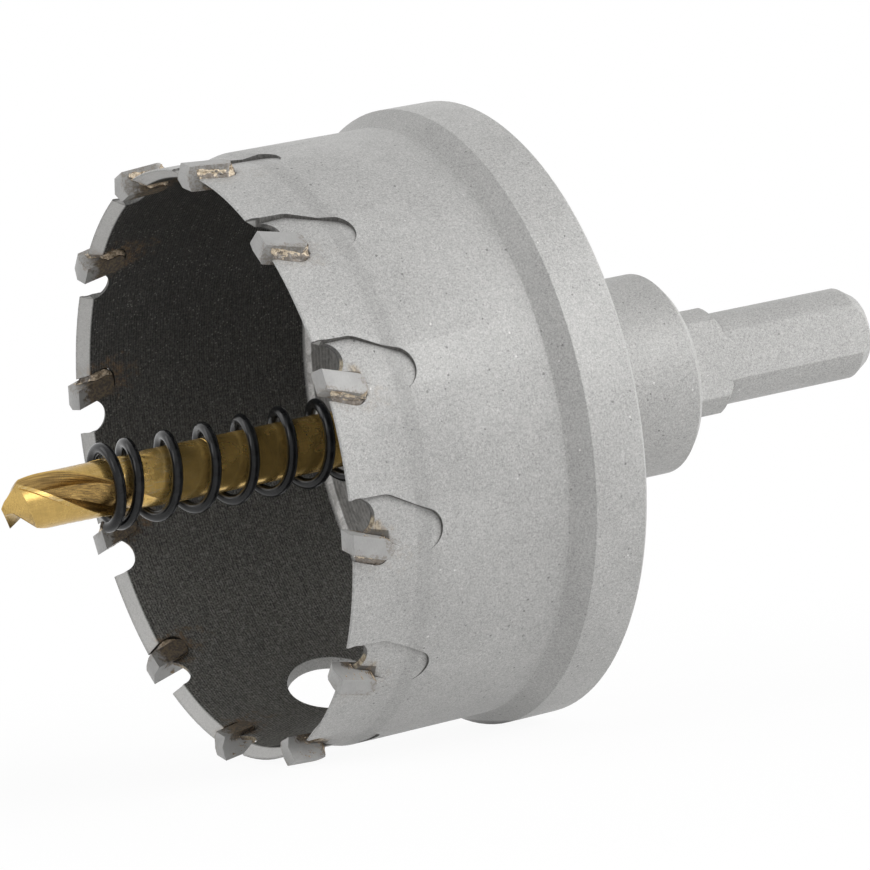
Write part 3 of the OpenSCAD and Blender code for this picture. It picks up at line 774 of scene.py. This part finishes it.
def braze_bead(i):
    """The cast bead of brazing alloy on one tip: the CAD solid's form, remeshed and roughened."""
    bm = bmesh.new()
    bm.from_mesh(nodes[f"braze_{i:02d}"].data)
    bmesh.ops.remove_doubles(bm, verts=bm.verts, dist=0.002 * MM)
    draft = to_scene("bead", to_mesh("bead", bm))
    fine = draft.modifiers.new("remesh", "REMESH")
    fine.mode = "VOXEL"
    fine.voxel_size = BEAD_VOXEL * MM
    soft = draft.modifiers.new("soft", "SMOOTH")
    soft.factor, soft.iterations = 0.5, 2
    made = bpy.data.meshes.new_from_object(draft.evaluated_get(bpy.context.evaluated_depsgraph_get()))
    bpy.data.objects.remove(draft)
    bm = bmesh.new()
    bm.from_mesh(made)
    bpy.data.meshes.remove(made)
    # every bead is turned to the +X side and shaped there
    spin = Matrix.Rotation(-math.radians(STEP * (i - 0.5)), 4, "Z")
    to_tip = spin @ REST.inverted()
    from_tip = REST @ spin.inverted()
    for v in bm.verts:
        v.co = from_tip @ bead_place(to_tip @ v.co, i)
    bm.normal_update()
    for v in bm.verts:
        p = v.co / MM
        lump = noise.noise(p * 1.1 + Vector((i, 0, 0))) * LUMP + noise.noise(p * 3.3) * FINE_LUMP
        v.co += v.normal * (lump - LUMP_MIDDLE) * MM
    o = new_piece(f"bead_{i:02d}", bm, BEAD)
    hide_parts(f"braze_{i:02d}")


twist_drill()
spring()
for i in range(1, TEETH + 1):
    braze_bead(i)
    dress(nodes[f"carbide_tip_{i:02d}"], TIP, TIP_EDGE)
dress(nodes["cup"], CUP, CUP_EDGE)
dress(nodes["arbor"], ARBOR, ARBOR_EDGE)
dress(nodes["grub_screw"], SCREW, SCREW_EDGE)


# Stage and lights
WHITE = (1, 1, 1)
# the floor turns plain white between these distances from the tool, in metres
FLOOR_TONE, NEAR_SHARE, FADE_START, FADE_END = (0.94, 0.94, 0.94), 0.94, 0.05, 0.16
# the room's light, from where it is dark to the other side
DARK_SIDE, ROOM_DARK, ROOM_BRIGHT = (-0.72, -0.69, 0), 0.08, 0.66
LAMP_AIM = (0.02, 0, 0.03)
FLOOR_HALF, FLOOR_DROP = 6, 0.2
# each lamp's place, width in metres and power in watts
LAMPS = {
    "key": ((0.80, -0.35, 0.30), 0.5, 4.2),
    "high": ((0.45, -0.75, 0.50), 0.4, 2.2),
    "left": ((-0.75, -0.10, 0.60), 0.4, 1.5),
    "back": ((-0.50, 0.50, 0.50), 0.4, 0.8),
}


def floor_material():
    """A pale floor that the camera and mirror-like rays see as nearly plain white, with a faint shadow."""
    g = material("floor_white")
    pale = g.made("ShaderNodeBsdfDiffuse", {0: FLOOR_TONE})
    plain = g.made("ShaderNodeEmission", {0: WHITE})
    far = g.vmath("LENGTH", g.add("ShaderNodeNewGeometry").outputs["Position"])
    share = g.ramp(far, FADE_START, FADE_END, NEAR_SHARE, 1.0)
    return g.shade("ShaderNodeOutputMaterial", g.mul(g.seen_plainly(), share), pale, plain)


def studio():
    """A white room that is darker at the front left, though it looks plain white to the camera."""
    g = Graph(bpy.data.worlds.new("studio"))
    way = g.vmath("DOT_PRODUCT", g.add("ShaderNodeTexCoord").outputs["Generated"], DARK_SIDE)
    light = g.made("ShaderNodeBackground", {0: WHITE, 1: g.ramp(way, 0.1, 0.9, ROOM_BRIGHT, ROOM_DARK)})
    plain = g.made("ShaderNodeBackground", {0: WHITE, 1: 1.0})
    return g.shade("ShaderNodeOutputWorld", g.seen_plainly(), light, plain)


def softbox(name, at, size, power):
    """A square lamp, aimed at the tool."""
    data = bpy.data.lights.new(name, "AREA")
    data.shape = "RECTANGLE"
    data.size = data.size_y = size
    data.energy = power
    o = to_scene(name, data)
    o.location = at
    o.rotation_mode = "QUATERNION"
    o.rotation_quaternion = (Vector(LAMP_AIM) - Vector(at)).to_track_quat("-Z", "Y")


bm = bmesh.new()
bmesh.ops.create_grid(bm, x_segments=2, y_segments=2, size=FLOOR_HALF)
floor = to_scene("floor", to_mesh("floor", bm))
floor.location.z = -FLOOR_DROP * MM
floor.data.materials.append(floor_material())
bpy.context.scene.world = studio()
for name, (at, size, power) in LAMPS.items():
    softbox(name, at, size, power)

# The photographed view, fitted to the photograph in the tool's own space, so the camera is rolled a little
PHOTO_WIDTH, FOCAL_LENGTH, SENSOR = 870, 5081.28, 36
NEAR, FAR = 0.01, 50
PLACE = (-34.0455, -480.6613, -224.0902)
RIGHT = (0.1729935, -0.466164, 0.86761995)
DOWN = (0.9827165, 0.02276303, -0.18371208)
AHEAD = (0.0658903, 0.88440543, 0.46204491)
turn = REST.to_3x3().normalized()
columns = [turn @ Vector(RIGHT), turn @ -Vector(DOWN), turn @ -Vector(AHEAD), REST @ Vector(PLACE)]
data = bpy.data.cameras.new("camera")
data.sensor_width = SENSOR
data.lens = SENSOR * FOCAL_LENGTH / PHOTO_WIDTH
data.clip_start, data.clip_end = NEAR, FAR
camera = to_scene("camera", data)
camera.matrix_world = Matrix([[c[row] for c in columns] for row in range(3)] + [[0, 0, 0, 1]])
bpy.context.scene.camera = camera
bpy.context.scene.view_settings.view_transform = "Standard"
